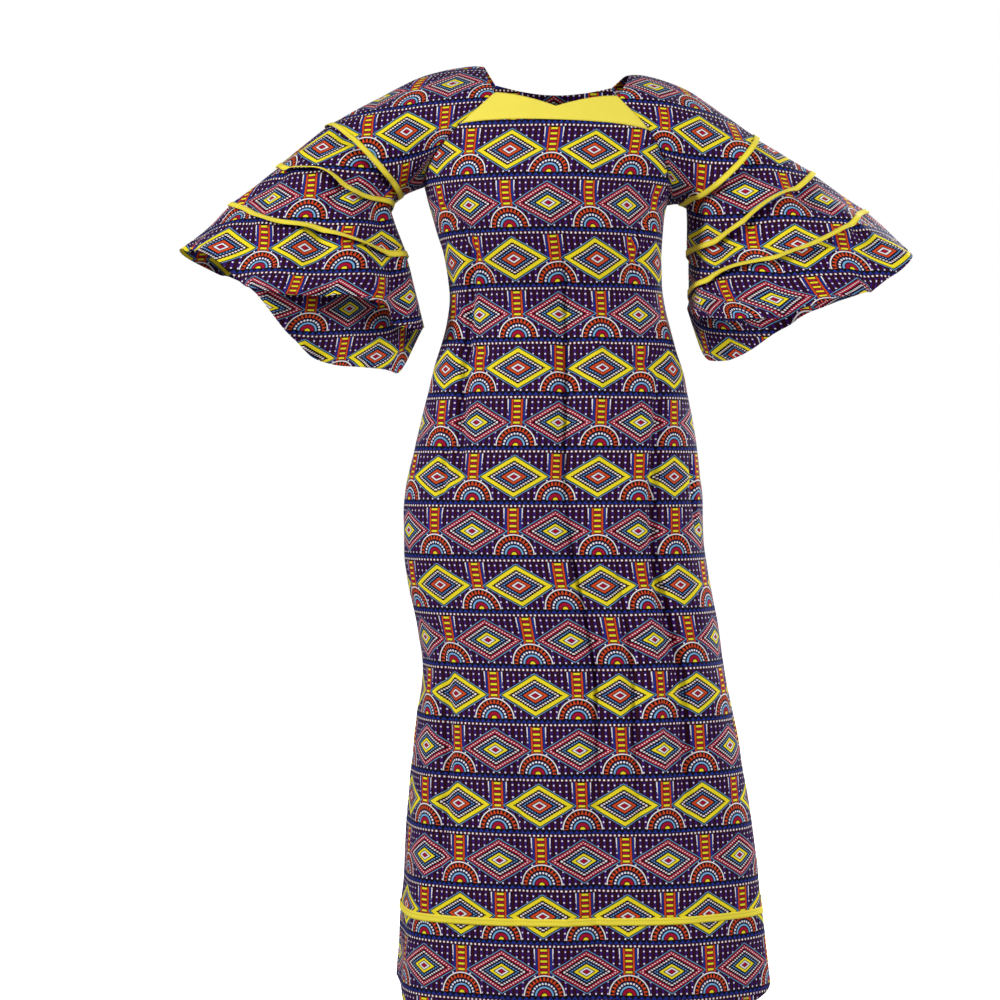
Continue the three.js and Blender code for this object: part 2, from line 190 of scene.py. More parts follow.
@lru_cache(maxsize=None)
def body_row(z):
    """Every column of the body's table at a height, smoothly between rows."""
    last = len(BODY) - 1
    above = next((k for k in range(last) if BODY[k + 1]["z"] <= z), last - 1)

    def slope(k, column):
        high, low = BODY[max(k - 1, 0)], BODY[min(k + 1, last)]
        return (low[column] - high[column]) / (low["z"] - high["z"])

    top, bottom = BODY[above], BODY[above + 1]
    span = bottom["z"] - top["z"]
    t = clamp((z - top["z"]) / span)
    row = {}
    for column in BODY_COLUMNS[1:]:
        leave, arrive = slope(above, column) * span, slope(above + 1, column) * span
        row[column] = hermite(top[column], bottom[column], leave, arrive, t)
    return row


# ---------------------------------------------------------------- body
def fold_depth(turn, z):
    depth = 0
    for fold in FOLDS:
        down = (z - fold["top"]) / (fold["bottom"] - fold["top"])
        if 0 < down < 1:
            off = (turn - fold["turn"] - fold["lean"] * down) / fold["width"]
            depth += fold["depth"] * math.sin(math.pi * down) * math.exp(-off * off)
    opened = clamp((FLUTES["from"] - z) / (FLUTES["from"] - HEM_Z))
    flute = math.cos(FLUTES["count"] * math.radians(turn) + FLUTES["phase"])
    return depth + FLUTES["depth"] * opened ** FLUTES["growth"] * (0.5 - 0.5 * flute)


def body_point(turn, z):
    """A point of the body at a height and a turn in degrees from the right side seam through the front."""
    ring = body_row(z)
    c, s = math.cos(math.radians(turn)), math.sin(math.radians(turn))
    square = ring["square"]
    round_out = (abs(c) ** square + abs(s) ** square) ** (-1 / square)
    reach = ring["front"] if s > 0 else ring["back"]
    inward = fold_depth(turn % 360, z)
    x = ring["mid_x"] - (ring["half"] - inward) * c * round_out
    return Vector((x, -(reach - inward) * s * round_out, z - ring["tilt"] * x))


def seam_z(w, neck_z):
    return UNDERARM_Z + (neck_z - UNDERARM_Z) * w**RAGLAN_CLIMB


def seam_turn(w, neck_turn):
    return neck_turn * w**RAGLAN_SWING


def edge_at(steps, neck_z, neck_turn):
    """Height and turn of a panel's edge, for steps counted from the hem."""
    if steps <= BODY_STEPS:
        return lerp(HEM_Z, UNDERARM_Z, steps / BODY_STEPS), 0
    w = (steps - BODY_STEPS) / SEAM_STEPS
    return seam_z(w, neck_z), seam_turn(w, neck_turn)


@lru_cache(maxsize=None)
def turn_of(distance, turn, z):
    return distance * 0.5 / (body_point(turn + 0.5, z) - body_point(turn, z)).length


def across_panel(u, edge_z, edge_turn, start, rise):
    low = start + edge_turn
    high = start + 180 - edge_turn
    turn = lerp(low + turn_of(SEAM_INSET, low, edge_z), high - turn_of(SEAM_INSET, high, edge_z), u)
    return body_point(turn, edge_z + rise)


def hem_rise(turn, z):
    side = math.cos(math.radians(turn)) ** HEM_RISE_POWER
    return HEM_RISE * side * smoothstep(-z, -HEM_BAND_Z, -HEM_Z)


def middle(u):
    return 1 - abs(2 * u - 1)


def insert_arch(u):
    return INSERT_ARCH * (1 - (1 - middle(u)) ** ARCH_POWER)


def front_point(u, v):
    steps = v * FRONT_STEPS
    z, turn = edge_at(steps, FRONT_NECK_Z, FRONT_SEAM_TURN)
    arch = insert_arch(u) * smoothstep(steps, BODY_STEPS, FRONT_STEPS)
    return across_panel(u, z, turn, 0, hem_rise(180 * u, z) + arch)


def back_point(u, v):
    steps = v * BACK_STEPS
    z, turn = edge_at(steps, BACK_NECK_Z, BACK_SEAM_TURN)
    scoop = math.sin(math.pi * clamp(u)) * smoothstep(steps, BODY_STEPS, BACK_STEPS)
    return across_panel(u, z, turn, 180, hem_rise(180 * u, z) - BACK_NECK_DROP * scoop)


def insert_point(u, v):
    w = lerp(INSERT_SEAM_AT, 1, v)
    heart = HEART_DROP * max(middle(u), 0) ** HEART_POWER * v
    rise = (insert_arch(u) + 2 * SEAM_INSET) * (1 - v) - heart
    return across_panel(u, seam_z(w, FRONT_NECK_Z), seam_turn(w, FRONT_SEAM_TURN), 0, rise)


def hem_band_point(u, v):
    """u is 0.5 at the centre front, and 0 and 1 at the centre back."""
    return body_point(360 * u - 90, HEM_BAND_Z + HEM_BAND_HEIGHT * (v - 0.5))


# ---------------------------------------------------------------- sleeves
def armhole_point(side, turn):
    """The loop that a sleeve is sewn to: turn is 0 at the underarm, 0.25 in front and 0.5 on top."""

    def mirrored(t):
        return t if side == "right" else 180 - t

    if turn < FRONT_NECK_TURN:
        w = turn / FRONT_NECK_TURN
        return body_point(mirrored(seam_turn(w, FRONT_SEAM_TURN)), seam_z(w, FRONT_NECK_Z))
    if turn > BACK_NECK_TURN:
        w = (1 - turn) / (1 - BACK_NECK_TURN)
        return body_point(mirrored(-seam_turn(w, BACK_SEAM_TURN)), seam_z(w, BACK_NECK_Z))
    front = body_point(mirrored(FRONT_SEAM_TURN), FRONT_NECK_Z)
    back = body_point(mirrored(-BACK_SEAM_TURN), BACK_NECK_Z)
    top_x, top_z = SHOULDER[side]
    peak = 2 * Vector((top_x, 0, top_z)) - (front + back) / 2
    t = (turn - FRONT_NECK_TURN) / (BACK_NECK_TURN - FRONT_NECK_TURN)
    return front * (1 - t) ** 2 + peak * 2 * t * (1 - t) + back * t**2


@lru_cache(maxsize=None)
def ring_axes(side, tier):
    """Along a ring from its outer to its inner end, and out past its edge."""
    ring = RINGS[side][tier]
    along = Vector((ring["inner_x"] - ring["outer_x"], 0, ring["inner_z"] - ring["outer_z"]))
    length = along.length
    along.normalize()
    out = Vector((along.z, 0, -along.x))
    return along, (-out if out.z > 0 else out), length


@lru_cache(maxsize=None)
def ring_point(side, tier, turn):
    ring = RINGS[side][tier]
    along, out, length = ring_axes(side, tier)
    degrees = 360 * turn
    c, s = math.cos(math.radians(degrees)), math.sin(math.radians(degrees))

    def crest(wave):
        return math.cos(math.radians(ring[wave + "_count"] * (degrees - ring[wave + "_turn"])))

    ruffle = ring["ruffle"] * (RUFFLE_EVERYWHERE - RUFFLE_OUTER_END * c) * crest("ruffle")
    hang = ring["drop"] * smoothstep(c, -1, 0) + ring["lean"] * max(c, 0)
    sway = ring["sway"] * abs(s) * crest("sway")
    reach = ring["front"] if s > 0 else ring["back"]
    past = ring["bow"] * abs(s) ** BOW_POWER + hang * smoothstep(-s, 0, BACK_DROP_IN) + sway
    mid_x, mid_z = (ring["outer_x"] + ring["inner_x"]) / 2, (ring["outer_z"] + ring["inner_z"]) / 2
    centre = Vector((mid_x, ring["mid_y"] - (reach + ruffle) * s, mid_z))
    return centre + along * (length / 2 + ruffle) * c + out * past


def step_height(step, steps, length):
    if step <= 1:
        return step * SLEEVE_BAND_HEIGHT
    return lerp(SLEEVE_BAND_HEIGHT, length, (step - 1) / (steps - 1))


SLEEVE_STEPS = 6
FLOUNCE_STEPS = 3


@lru_cache(maxsize=None)
def sleeve_curve(side, turn):
    """The curve from the armhole to the sleeve's edge at a turn: its ends, its end slopes and its length."""
    out = ring_axes(side, 0)[1]
    start, end = armhole_point(side, turn), ring_point(side, 0, turn)
    along = end - start
    distance = along.length
    along.normalize()
    top = 0.5 - 0.5 * math.cos(2 * math.pi * turn)
    away = Vector((SIDE_SIGN[side], 0, SHOULDER_LIFT))

    def share(name, power=1):
        least, more = SLEEVE_CURVE[name]
        return least + more * top**power

    leave = along.lerp(away, share("sideways", 2)).normalized() * distance * share("fullness")
    arrive = along.lerp(out, share("flare")).normalized() * distance
    return start, end, leave, arrive, distance


def sleeve_point(side, turn, v):
    start, end, leave, arrive, distance = sleeve_curve(side, turn % 1)
    t = 1 - step_height(v * SLEEVE_STEPS, SLEEVE_STEPS, distance - SEAM_INSET) / distance
    return hermite(start, end, leave, arrive, t)


@lru_cache(maxsize=None)
def edge_frame(side, tier, turn):
    """At a tier's lower edge: the point, the way up the cloth and the way out of it."""
    step = 1e-3
    edge = ring_point(side, tier, turn)
    across = ring_point(side, tier, turn + step) - ring_point(side, tier, turn - step)
    above = sleeve_point(side, turn, 1 / SLEEVE_STEPS) if tier == 0 else under_tier(side, tier, turn, -LIP)
    up = (above - edge).normalized()
    return edge, up, (across.cross(up) * SIDE_SIGN[side]).normalized()


def under_tier(side, tier, turn, height):
    """A point of a flounce where it runs under the tier above, some way above that tier's edge."""
    edge, up, out = edge_frame(side, tier - 1, turn)
    return edge + up * height - out * LAP_DEPTH


def tier_point(side, tier, turn, v):
    """The sleeve is tier 0 and the flounces are tiers 1 to 3; v is 0 at the lower edge."""
    if tier == 0:
        return sleeve_point(side, turn, v)
    lip = under_tier(side, tier, turn, -LIP)
    step = v * FLOUNCE_STEPS
    if step > 2:
        return lip.lerp(under_tier(side, tier, turn, LAP), step - 2)
    edge = ring_point(side, tier, turn)
    return edge + (lip - edge).normalized() * step_height(step, 2, (lip - edge).length)


# ---------------------------------------------------------------- creases
# Soft troughs (depth below 0) and ridges of the panels, on the cloth's own flat measures: across from
# the front's or the back's middle, and up from the shoulders.
CREASE_COLUMNS = ("from_x", "from_z", "to_x", "to_z", "bend", "width", "depth")
CREASE_ROWS = {
    "front_panel": (
        (14, -190, 26, -800, 12, 13, -5.0),
        (24, -640, 20, -1160, -5, 12, -5.5),
        (40, -230, 52, -620, -8, 16, 2.5),
        (158, -420, 156, -960, 6, 11, -5.0),
        (-128, -240, -150, -640, 14, 12, -4.5),
        (-172, -520, -176, -660, 4, 9, -3.0),
        (92, -700, 88, -1210, 8, 12, -5.0),
        (152, -720, 160, -1130, -8, 11, -4.0),
        (122, -760, 126, -1180, 4, 14, 2.5),
        (236, -560, 246, -700, 6, 9, -3.0),
        (300, -900, 322, -1080, 8, 12, -3.5),
        (-210, -820, -232, -1250, -12, 16, -4.0),
        (-84, -900, -96, -1360, 8, 14, -3.5),
        (-30, -980, -36, -1400, -6, 16, 2.5),
        (18, -1080, 24, -1420, 4, 15, -3.0),
        (-196, -196, -120, -262, -8, 9, -3.5),
        (-190, -222, -96, -330, -10, 11, -3.0),
        (188, -206, 118, -270, 8, 9, -3.5),
        (182, -236, 100, -340, 10, 10, -2.8),
        (-188, -350, -120, -372, 6, 8, -2.2),
        (-192, -392, -96, -418, 8, 9, -2.4),
        (196, -360, 130, -384, -6, 8, -2.4),
        (204, -404, 112, -436, -8, 10, -2.2),
        (-60, -352, 30, -366, -4, 9, -1.6),
    ),
    "back_panel": (
        (-10, -180, -22, -820, -10, 14, -5.0),
        (128, -250, 152, -660, -12, 12, -4.5),
        (-96, -690, -90, -1200, -8, 13, -4.5),
        (180, -700, 196, -1180, 10, 13, -4.0),
        (60, -880, 70, -1380, 8, 15, -3.5),
        (-230, -780, -262, -1240, -10, 14, -4.0),
        (-40, -1000, -46, -1410, 4, 16, 2.5),
        (190, -214, 110, -290, 8, 10, -3.5),
        (-194, -206, -112, -276, -8, 10, -3.5),
        (-190, -352, -96, -378, 6, 9, -2.4),
        (200, -366, 100, -396, -6, 9, -2.6),
        (-190, -396, -110, -426, 6, 10, -2.2),
        (-60, -330, 50, -344, 5, 10, -2.0),
    ),
}
CREASE_BOLDNESS = 2.8  # times the depths in the table
CREASE_SHARPNESS = 0.72  # of the widths in the table
CREASE_FADE = 0.7  # how slowly a crease fades in and out along its length, less is slower
CREASES = {name: named(CREASE_COLUMNS, rows) for name, rows in CREASE_ROWS.items()}


def crease_height(creases, x, z):
    height = 0
    for crease in creases:
        run_x, run_z = crease["to_x"] - crease["from_x"], crease["to_z"] - crease["from_z"]
        off_x, off_z = x - crease["from_x"], z - crease["from_z"]
        length = math.hypot(run_x, run_z)
        t = (off_x * run_x + off_z * run_z) / length**2
        if not 0 < t < 1:
            continue
        side = (off_x * run_z - off_z * run_x) / length
        side = (side - crease["bend"] * math.sin(math.pi * t)) / (crease["width"] * CREASE_SHARPNESS)
        if abs(side) < 3:
            height += crease["depth"] * math.exp(-side * side) * math.sin(math.pi * t) ** CREASE_FADE
    return height * CREASE_BOLDNESS


def ripple(place, size, height):
    """Slow unevenness of worn cloth."""
    return height * noise.noise(place / size)


# ---------------------------------------------------------------- making cloth
CLOTH_MAP = "Cloth"
EDGE_MAP = "Edge"  # along the piece's lower edge, and up from it


def sheet_grid(point, columns, rows):
    """A grid laid on point(u, v), with each vertex's u and v kept, and its rows from the bottom up."""
    bm = bmesh.new()
    bmesh.ops.create_grid(bm, x_segments=columns, y_segments=rows, size=0.5)
    kept = bm.verts.layers.float_vector.new("place")
    for vert in bm.verts:
        u, v = round(vert.co.x + 0.5, 6), round(vert.co.y + 0.5, 6)
        vert[kept] = (u, v, 0)
        vert.co = point(u, v)
    lines = {}
    for vert in bm.verts:
        lines.setdefault(round(vert[kept].y, 5), []).append(vert)
    ordered = [sorted(lines[v], key=lambda vert: vert[kept].x) for v in sorted(lines)]
    return bm, ordered


def map_cloth(bm, lines, start, along, out):
    """The cloth's flat measures: a row is laid out from its middle both ways by its true length, so the
    print keeps its scale round the sides and stays upright."""
    flat = {}
    for line in lines:
        centre = len(line) // 2
        for way in (-1, 1):
            at = start(line[centre])
            flat[line[centre]] = at
            k = centre
            while 0 <= k + way < len(line):
                step = line[k + way].co - line[k].co
                past = step.dot(out)
                run = math.sqrt(max(step.length_squared - past * past, 0))
                at = at + along(way) * run + out * past
                k += way
                flat[line[k]] = at
    layer = bm.loops.layers.uv.new(CLOTH_MAP)
    edge = bm.loops.layers.uv.new(EDGE_MAP)
    kept = bm.verts.layers.float_vector["place"]
    width = sum((b.co - a.co).length for a, b in zip(lines[0], lines[0][1:]))
    centre = [line[len(line) // 4] for line in lines]
    height = sum((b.co - a.co).length for a, b in zip(centre, centre[1:]))
    for face in bm.faces:
        for loop in face.loops:
            at = flat[loop.vert]
            u, v, _ = loop.vert[kept]
            loop[layer].uv = (at.x * MM, at.z * MM)
            loop[edge].uv = (u * width * MM, v * height * MM)


def finish_piece(name, bm, tube, relief, wall, finish):
    """Closes a tube, moves the cloth in and out by relief(u, v, flat place, place), and adds the piece."""
    if tube:
        bmesh.ops.remove_doubles(bm, verts=bm.verts, dist=0.01)
    else:
        bmesh.ops.recalc_face_normals(bm, faces=bm.faces)
    bm.normal_update()
    kept = bm.verts.layers.float_vector["place"]
    layer = bm.loops.layers.uv[CLOTH_MAP]
    moved = []
    for vert in bm.verts:
        at = vert.link_loops[0][layer].uv / MM
        moved.append((vert, vert.normal * relief(vert[kept].x, vert[kept].y, at, vert.co)))
    for vert, move in moved:
        vert.co += move
    bmesh.ops.scale(bm, vec=(MM, MM, MM), verts=bm.verts)
    for face in bm.faces:
        face.smooth = True
    bm.verts.layers.float_vector.remove(kept)
    mesh = bpy.data.meshes.new(name)
    bm.to_mesh(mesh)
    bm.free()
    piece = bpy.data.objects.new("worn_" + name, mesh)
    bpy.context.scene.collection.objects.link(piece)
    mesh.materials.append(finish)
    shell = piece.modifiers.new("wall", "SOLIDIFY")
    shell.thickness = wall * MM
    shell.offset = 0
    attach(piece, "root")
    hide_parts(name)
    return piece


# ---------------------------------------------------------------- finishes
STITCH = 3.4  # from one stitch to the next
STITCH_SHARE = 0.72  # of that which is thread, and the rest is the gap
THREAD = 0.9
HEM_STITCHES = (7.0, 8.6)  # heights of the rows of stitches above a piece's lower edge
BAND_STITCHES = (1.3, 7.7)
INSERT_STITCHES = (1.8, 50.0)


class Field:
    """A value that changes over the cloth: one output in one finish's nodes."""

    def __init__(self, dye, socket):
        self.dye = dye
        self.socket = socket

    def __add__(self, other):
        return self.dye.math("ADD", self, other)

    def __sub__(self, other):
        return self.dye.math("SUBTRACT", self, other)

    def __rsub__(self, other):
        return self.dye.math("SUBTRACT", other, self)

    def __mul__(self, other):
        return self.dye.math("MULTIPLY", self, other)

    def __truediv__(self, other):
        return self.dye.math("DIVIDE", self, other)

    def __mod__(self, other):
        return self.dye.math("FLOORED_MODULO", self, other)

    def __abs__(self):
        return self.dye.math("ABSOLUTE", self)

    def __lt__(self, other):
        return self.dye.math("LESS_THAN", self, other)

    def __gt__(self, other):
        return self.dye.math("GREATER_THAN", self, other)

    __radd__ = __add__
    __rmul__ = __mul__


class Dye:
    """One finish: its material and the nodes that it is made of."""

    def __init__(self, name):
        self.material = bpy.data.materials.new(name)
        self.material.use_nodes = True
        self.tree = self.material.node_tree
        self.tree.nodes.clear()

    def node(self, kind, settings=None, values=None, out=0):
        made = self.tree.nodes.new(kind)
        for name, value in (settings or {}).items():
            if name == "stops":
                self.stops(made.color_ramp, value)
            else:
                setattr(made, name, value)
        for name, value in (values or {}).items():
            if isinstance(value, Field):
                self.tree.links.new(value.socket, made.inputs[name])
            else:
                made.inputs[name].default_value = value
        return Field(self, made.outputs[out]) if made.outputs else made

    @staticmethod
    def stops(ramp, stops):
        ramp.interpolation = "CONSTANT"
        while len(ramp.elements) < len(stops):
            ramp.elements.new(0.5)
        for element, (at, colour) in zip(ramp.elements, stops):
            element.position = at
            element.color = colour

    def math(self, operation, a, b=0.0):
        return self.node("ShaderNodeMath", {"operation": operation}, {0: a, 1: b})

    def least(self, a, b):
        return self.math("MINIMUM", a, b)

    def paint(self, under, mask, over):
        return self.node("ShaderNodeMix", {"data_type": "RGBA"}, {0: mask, 6: under, 7: over}, out=2)

    def ramp(self, value, reach, stops):
        """Bands of plain colour: each stop is where a colour starts, in the value's own units."""
        return self.node(
            "ShaderNodeValToRGB",
            {"stops": [(at / reach, colour) for at, colour in stops]},
            {0: value / reach},
        )

    def split(self, vector):
        parts = self.tree.nodes.new("ShaderNodeSeparateXYZ")
        self.tree.links.new(vector.socket, parts.inputs[0])
        return [Field(self, socket) for socket in parts.outputs]

    def cloth_place(self, name=CLOTH_MAP):
        """Across and up on the flat cloth, in millimetres."""
        place = self.node("ShaderNodeUVMap", {"uv_map": name})
        across, up, _ = self.split(place)
        return across / MM, up / MM


def hue(red, green, blue):
    """A dyer's colour, given as it looks, from 0 to 255."""
    return tuple(((value / 255 + 0.055) / 1.055) ** 2.4 for value in (red, green, blue)) + (1.0,)


BLACK = hue(9, 4, 11)
PURPLE = hue(60, 16, 104)
NAVY = hue(16, 28, 84)
ROYAL = hue(28, 46, 144)
CRIMSON = hue(168, 12, 52)
MAROON = hue(70, 8, 34)
ORANGE = hue(214, 74, 32)
YELLOW = hue(246, 226, 40)
SKY = hue(122, 176, 224)
WHITE = hue(240, 236, 240)

# The print's sizes in millimetres. Bands of colour are lists of where each colour starts.
REPEAT = 126.6  # across
TIER = 81.7  # height of a row of lozenges; the next row is moved by half a repeat
STRIP = 12.0  # height of the strip at the foot of each row
STRIPE = REPEAT / 14
GROUND_BANDS = ((0, PURPLE), (2.1, BLACK), (3.4, MAROON), (4.2, BLACK))
SEED_RISE = TIER / 9
SEED_RADIUS = 1.25
LADDER = {"half_width": 5.0, "rung": TIER / 10, "rails": 15.4, "splay": 0.12}
RUNG_BANDS = ((0, CRIMSON), (3.1, BLACK), (4.1, YELLOW), (7.1, BLACK))
RAIL_BANDS = (
    (0, BLACK), (5.8, ORANGE), (8.6, BLACK), (9.6, ROYAL), (12.2, BLACK), (12.9, WHITE), (14.7, BLACK),
)
SUN_RADIUS = 31.0
SUN_BANDS = (
    (0, YELLOW), (3.8, BLACK), (5.4, CRIMSON), (9.8, BLACK), (11.4, SKY), (14.0, BLACK), (15.4, NAVY),
    (20.4, BLACK), (22.0, ORANGE), (27.6, BLACK), (28.6, WHITE), (30.5, BLACK),
)
RAYS = {"pitch": math.pi / 14, "foot": 20.6, "spread": 0.3, "from": 21.6, "to": 28.2}
SUN_BEADS = {"pitch": math.pi / 12, "ring": 17.9, "radius": 1.6}
LOZENGE = {"half_width": 57.0, "half_height": 34.0, "up": 47.0}
RING = 29.0  # from a lozenge's middle straight out to its side, where ring is 1
BROAD_RING = (0.70, 0.89)
CORE_RING = (0.23, 0.33)
LOZENGE_BANDS = (
    (0, CRIMSON), (0.09, BLACK), (0.12, WHITE), (0.19, BLACK), (CORE_RING[0], ORANGE),
    (CORE_RING[1], BLACK), (0.38, NAVY), (0.49, BLACK), (0.535, MAROON), (0.65, BLACK),
    (BROAD_RING[0], YELLOW), (BROAD_RING[1], BLACK), (0.94, SKY), (0.97, BLACK),
)
NICKS = {"pitch": 4.2, "slope": 0.018, "from": 0.67, "to": 0.73}  # black teeth inside the broad ring
RING_BEADS = {"pitch": 7.2, "ring": 0.595, "squash": 0.35, "size": 1.9}
RING_STITCHES = {"ring": 0.80, "squash": 0.3, "size": 1.0}
DASHES = {"from": 0.41, "to": 0.46, "half_length": 2.0}
STRIP_BANDS = ((0, BLACK), (0.9, MAROON), (5.3, BLACK))
STRIP_DOTS = {"pitch": REPEAT / 20, "up": 3.1, "radius": 1.55}
TEETH = {"pitch": REPEAT / 14, "foot": 6.1, "slope": 1.1, "line_up": 0.4, "line": 0.55}


def off_middle(value, pitch):
    """How far a value is from the middle of its own step of a pitch."""
    return abs(value % pitch - pitch / 2)


def within(value, low, high):
    return (value > low) * (value < high)


def dots(dye, colour, across, up, radius):
    return dye.paint(colour, (across * across + up * up) < radius * radius, WHITE)


def ground(dye, x, up):
    """Purple and maroon pinstripes, with a column of small white dots on each purple one."""
    stripe = off_middle(x, STRIPE)
    colour = dye.ramp(stripe, STRIPE / 2, GROUND_BANDS)
    return dots(dye, colour, stripe, off_middle(up, SEED_RISE), SEED_RADIUS)


def ladders(dye, colour, between, up):
    """A ladder over each sun, with rails that part as they rise."""
    rails = dye.ramp(between, LADDER["rails"], RAIL_BANDS)
    colour = dye.paint(colour, between + (TIER - up) * LADDER["splay"] < LADDER["rails"], rails)
    rungs = dye.ramp(up % LADDER["rung"], LADDER["rung"], RUNG_BANDS)
    return dye.paint(colour, between < LADDER["half_width"], rungs)


def half_suns(dye, colour, between, high):
    """Half suns of rings, one with black rays and one with white beads."""
    radius = dye.math("SQRT", between * between + high * high)
    angle = dye.math("ARCTAN2", high, between)
    sun = dye.ramp(radius, SUN_RADIUS, SUN_BANDS)
    ray = off_middle(angle, RAYS["pitch"]) * radius
    rays = (ray < (radius - RAYS["foot"]) * RAYS["spread"]) * within(radius, RAYS["from"], RAYS["to"])
    sun = dye.paint(sun, rays, BLACK)
    bead = off_middle(angle, SUN_BEADS["pitch"]) * radius
    sun = dots(dye, sun, bead, radius - SUN_BEADS["ring"], SUN_BEADS["radius"])
    return dye.paint(colour, (radius < SUN_RADIUS) * (high > 0), sun)


def lozenges(dye, colour, side, rise, odd):
    """Nested lozenges, with a yellow broad ring in the even rows and a crimson one in the odd rows."""
    ring = side / LOZENGE["half_width"] + rise / LOZENGE["half_height"]
    lozenge = dye.ramp(ring, 1.0, LOZENGE_BANDS)
    lozenge = dye.paint(lozenge, within(ring, *BROAD_RING) * odd, CRIMSON)
    lozenge = dye.paint(lozenge, within(ring, *CORE_RING) * odd, YELLOW)
    nicked = ring + off_middle(side, NICKS["pitch"]) * NICKS["slope"]
    lozenge = dye.paint(lozenge, (nicked < NICKS["to"]) * (ring > NICKS["from"]), BLACK)

    # beads, dashes and stitches run along the rings' sides
    run = side - rise * (LOZENGE["half_width"] / LOZENGE["half_height"])
    step = off_middle(run, RING_BEADS["pitch"])

    def spots(marks):
        out = (ring - marks["ring"]) * RING
        return (step * step * marks["squash"] + out * out) < marks["size"]

    lozenge = dye.paint(lozenge, spots(RING_BEADS), WHITE)
    dashes = within(ring, DASHES["from"], DASHES["to"]) * (step < DASHES["half_length"])
    lozenge = dye.paint(lozenge, dashes, SKY)
    lozenge = dye.paint(lozenge, spots(RING_STITCHES) * odd, WHITE)
    return dye.paint(colour, ring < 1.0, lozenge)


def strips(dye, colour, x, up):
    """At the foot of a row, white dots on maroon with blue teeth above them."""
    strip = dye.ramp(up, STRIP, STRIP_BANDS)
    strip = dots(
        dye, strip, off_middle(x, STRIP_DOTS["pitch"]), up - STRIP_DOTS["up"], STRIP_DOTS["radius"]
    )
    high = up - TEETH["foot"]
    swing = off_middle(x, TEETH["pitch"]) * TEETH["slope"]
    strip = dye.paint(strip, (high < swing) * (high > 0), ROYAL)
    line = abs(high - TEETH["line_up"] - swing) < TEETH["line"]
    strip = dye.paint(strip, line * (high > 0), BLACK)
    return dye.paint(colour, up < STRIP, strip)


def wax_print(dye):
    """The print: rows of nested lozenges, each row moved by half a repeat, with half suns and ladders
    between them and a strip at the foot of each row, every shape outlined in black."""
    x, y = dye.cloth_place()
    tier = dye.math("FLOOR", y / TIER)
    odd = tier % 2
    up = y - tier * TIER
    side = off_middle(x + odd * (REPEAT / 2), REPEAT)
    between = REPEAT / 2 - side
    colour = ground(dye, x, up)
    colour = ladders(dye, colour, between, up)
    colour = half_suns(dye, colour, between, up - STRIP)
    colour = lozenges(dye, colour, side, abs(up - LOZENGE["up"]), odd)
    return strips(dye, colour, x, up)


def cotton(dye, colour, roughness, weave, sheen, gloss, seams, thread):
    """Finishes a dye as woven cotton: fine threads in relief, a slight unevenness of the colour, and
    lines of machine stitches at the heights in seams, in millimetres from the lower edge."""
    along, above = dye.cloth_place(EDGE_MAP)
    off = abs(above - seams[0])
    for height in seams[1:]:
        off = dye.least(off, abs(above - height))
    sewn = (off < THREAD / 2) * (along % STITCH < STITCH_SHARE * STITCH)
    colour = dye.paint(colour, sewn, thread)
    place = dye.node("ShaderNodeTexCoord", out=3)
    cloud = dye.node("ShaderNodeTexNoise", values={"Vector": place, "Scale": 9.0, "Detail": 3.0})
    fine = dye.node("ShaderNodeTexNoise", values={"Vector": place, "Scale": 420.0, "Detail": 2.0})
    shade = 0.90 + cloud * 0.14 + fine * 0.06
    tint = dye.node("ShaderNodeCombineColor", values={0: shade, 1: shade, 2: shade})
    colour = dye.node(
        "ShaderNodeMix", {"data_type": "RGBA", "blend_type": "MULTIPLY"}, {0: 1.0, 6: colour, 7: tint}, out=2
    )
    x, y = dye.cloth_place()
    warp = dye.math("SINE", x * (2 * math.pi / weave))
    weft = dye.math("SINE", y * (2 * math.pi / weave))
    height = warp * weft * (1 - sewn) + fine * 0.8 + sewn * 1.6
    bump = dye.node("ShaderNodeBump", values={"Strength": 0.35, "Distance": 0.0004, "Height": height})
    surface = dye.node(
        "ShaderNodeBsdfPrincipled",
        values={
            "Base Color": colour,
            "Roughness": roughness + fine * 0.1,
            "Specular IOR Level": gloss,
            "Sheen Weight": sheen,
            "Sheen Roughness": 0.45,
            "Normal": bump,
        },
    )
    dye.node("ShaderNodeOutputMaterial", values={"Surface": surface})
    return dye.material


def printed_cotton():
    dye = Dye("wax_print_cotton")
    return cotton(
        dye,
        wax_print(dye),
        roughness=0.62,
        weave=0.9,
        sheen=0.02,
        gloss=0.10,
        seams=HEM_STITCHES,
        thread=PURPLE,
    )


def yellow_cotton(name, colour, seams):
    dye = Dye(name)
    return cotton(
        dye, colour, roughness=0.62, weave=1.1, sheen=0.08, gloss=0.25, seams=seams, thread=hue(214, 190, 30)
    )


# ---------------------------------------------------------------- the pieces
PRINTED = printed_cotton()
PLAIN_YELLOW = yellow_cotton("yellow_cotton", hue(250, 232, 84), INSERT_STITCHES)
BAND_YELLOW = yellow_cotton("yellow_band_cotton", hue(250, 232, 66), BAND_STITCHES)

UP = Vector((0, 0, 1))
RIGHT = Vector((1, 0, 0))


SEAM_DIP = 1.2  # the cloth dips along a seam by this much,
SEAM_DIP_WIDTH = 4.0  # and this far from it
PANEL_WIDTH, INSERT_WIDTH, SLEEVE_LENGTH = 600, 330, 170  # about, to measure from a seam


def seam_dip(distance):
    return -SEAM_DIP * math.exp(-((distance / SEAM_DIP_WIDTH) ** 2))


def panel(name, point, columns, rows, relief, finish):
    bm, lines = sheet_grid(point, columns, rows)
    map_cloth(
        bm,
        lines,
        start=lambda vert: Vector((0, 0, vert.co.z)),
        along=lambda way: RIGHT * way,
        out=UP,
    )
    return finish_piece(name, bm, False, relief, CLOTH_WALL, finish)


def body_waves(place):
    return ripple(place, 74, 2.2) + ripple(place + Vector((300, 0, 0)), 31, 0.8)


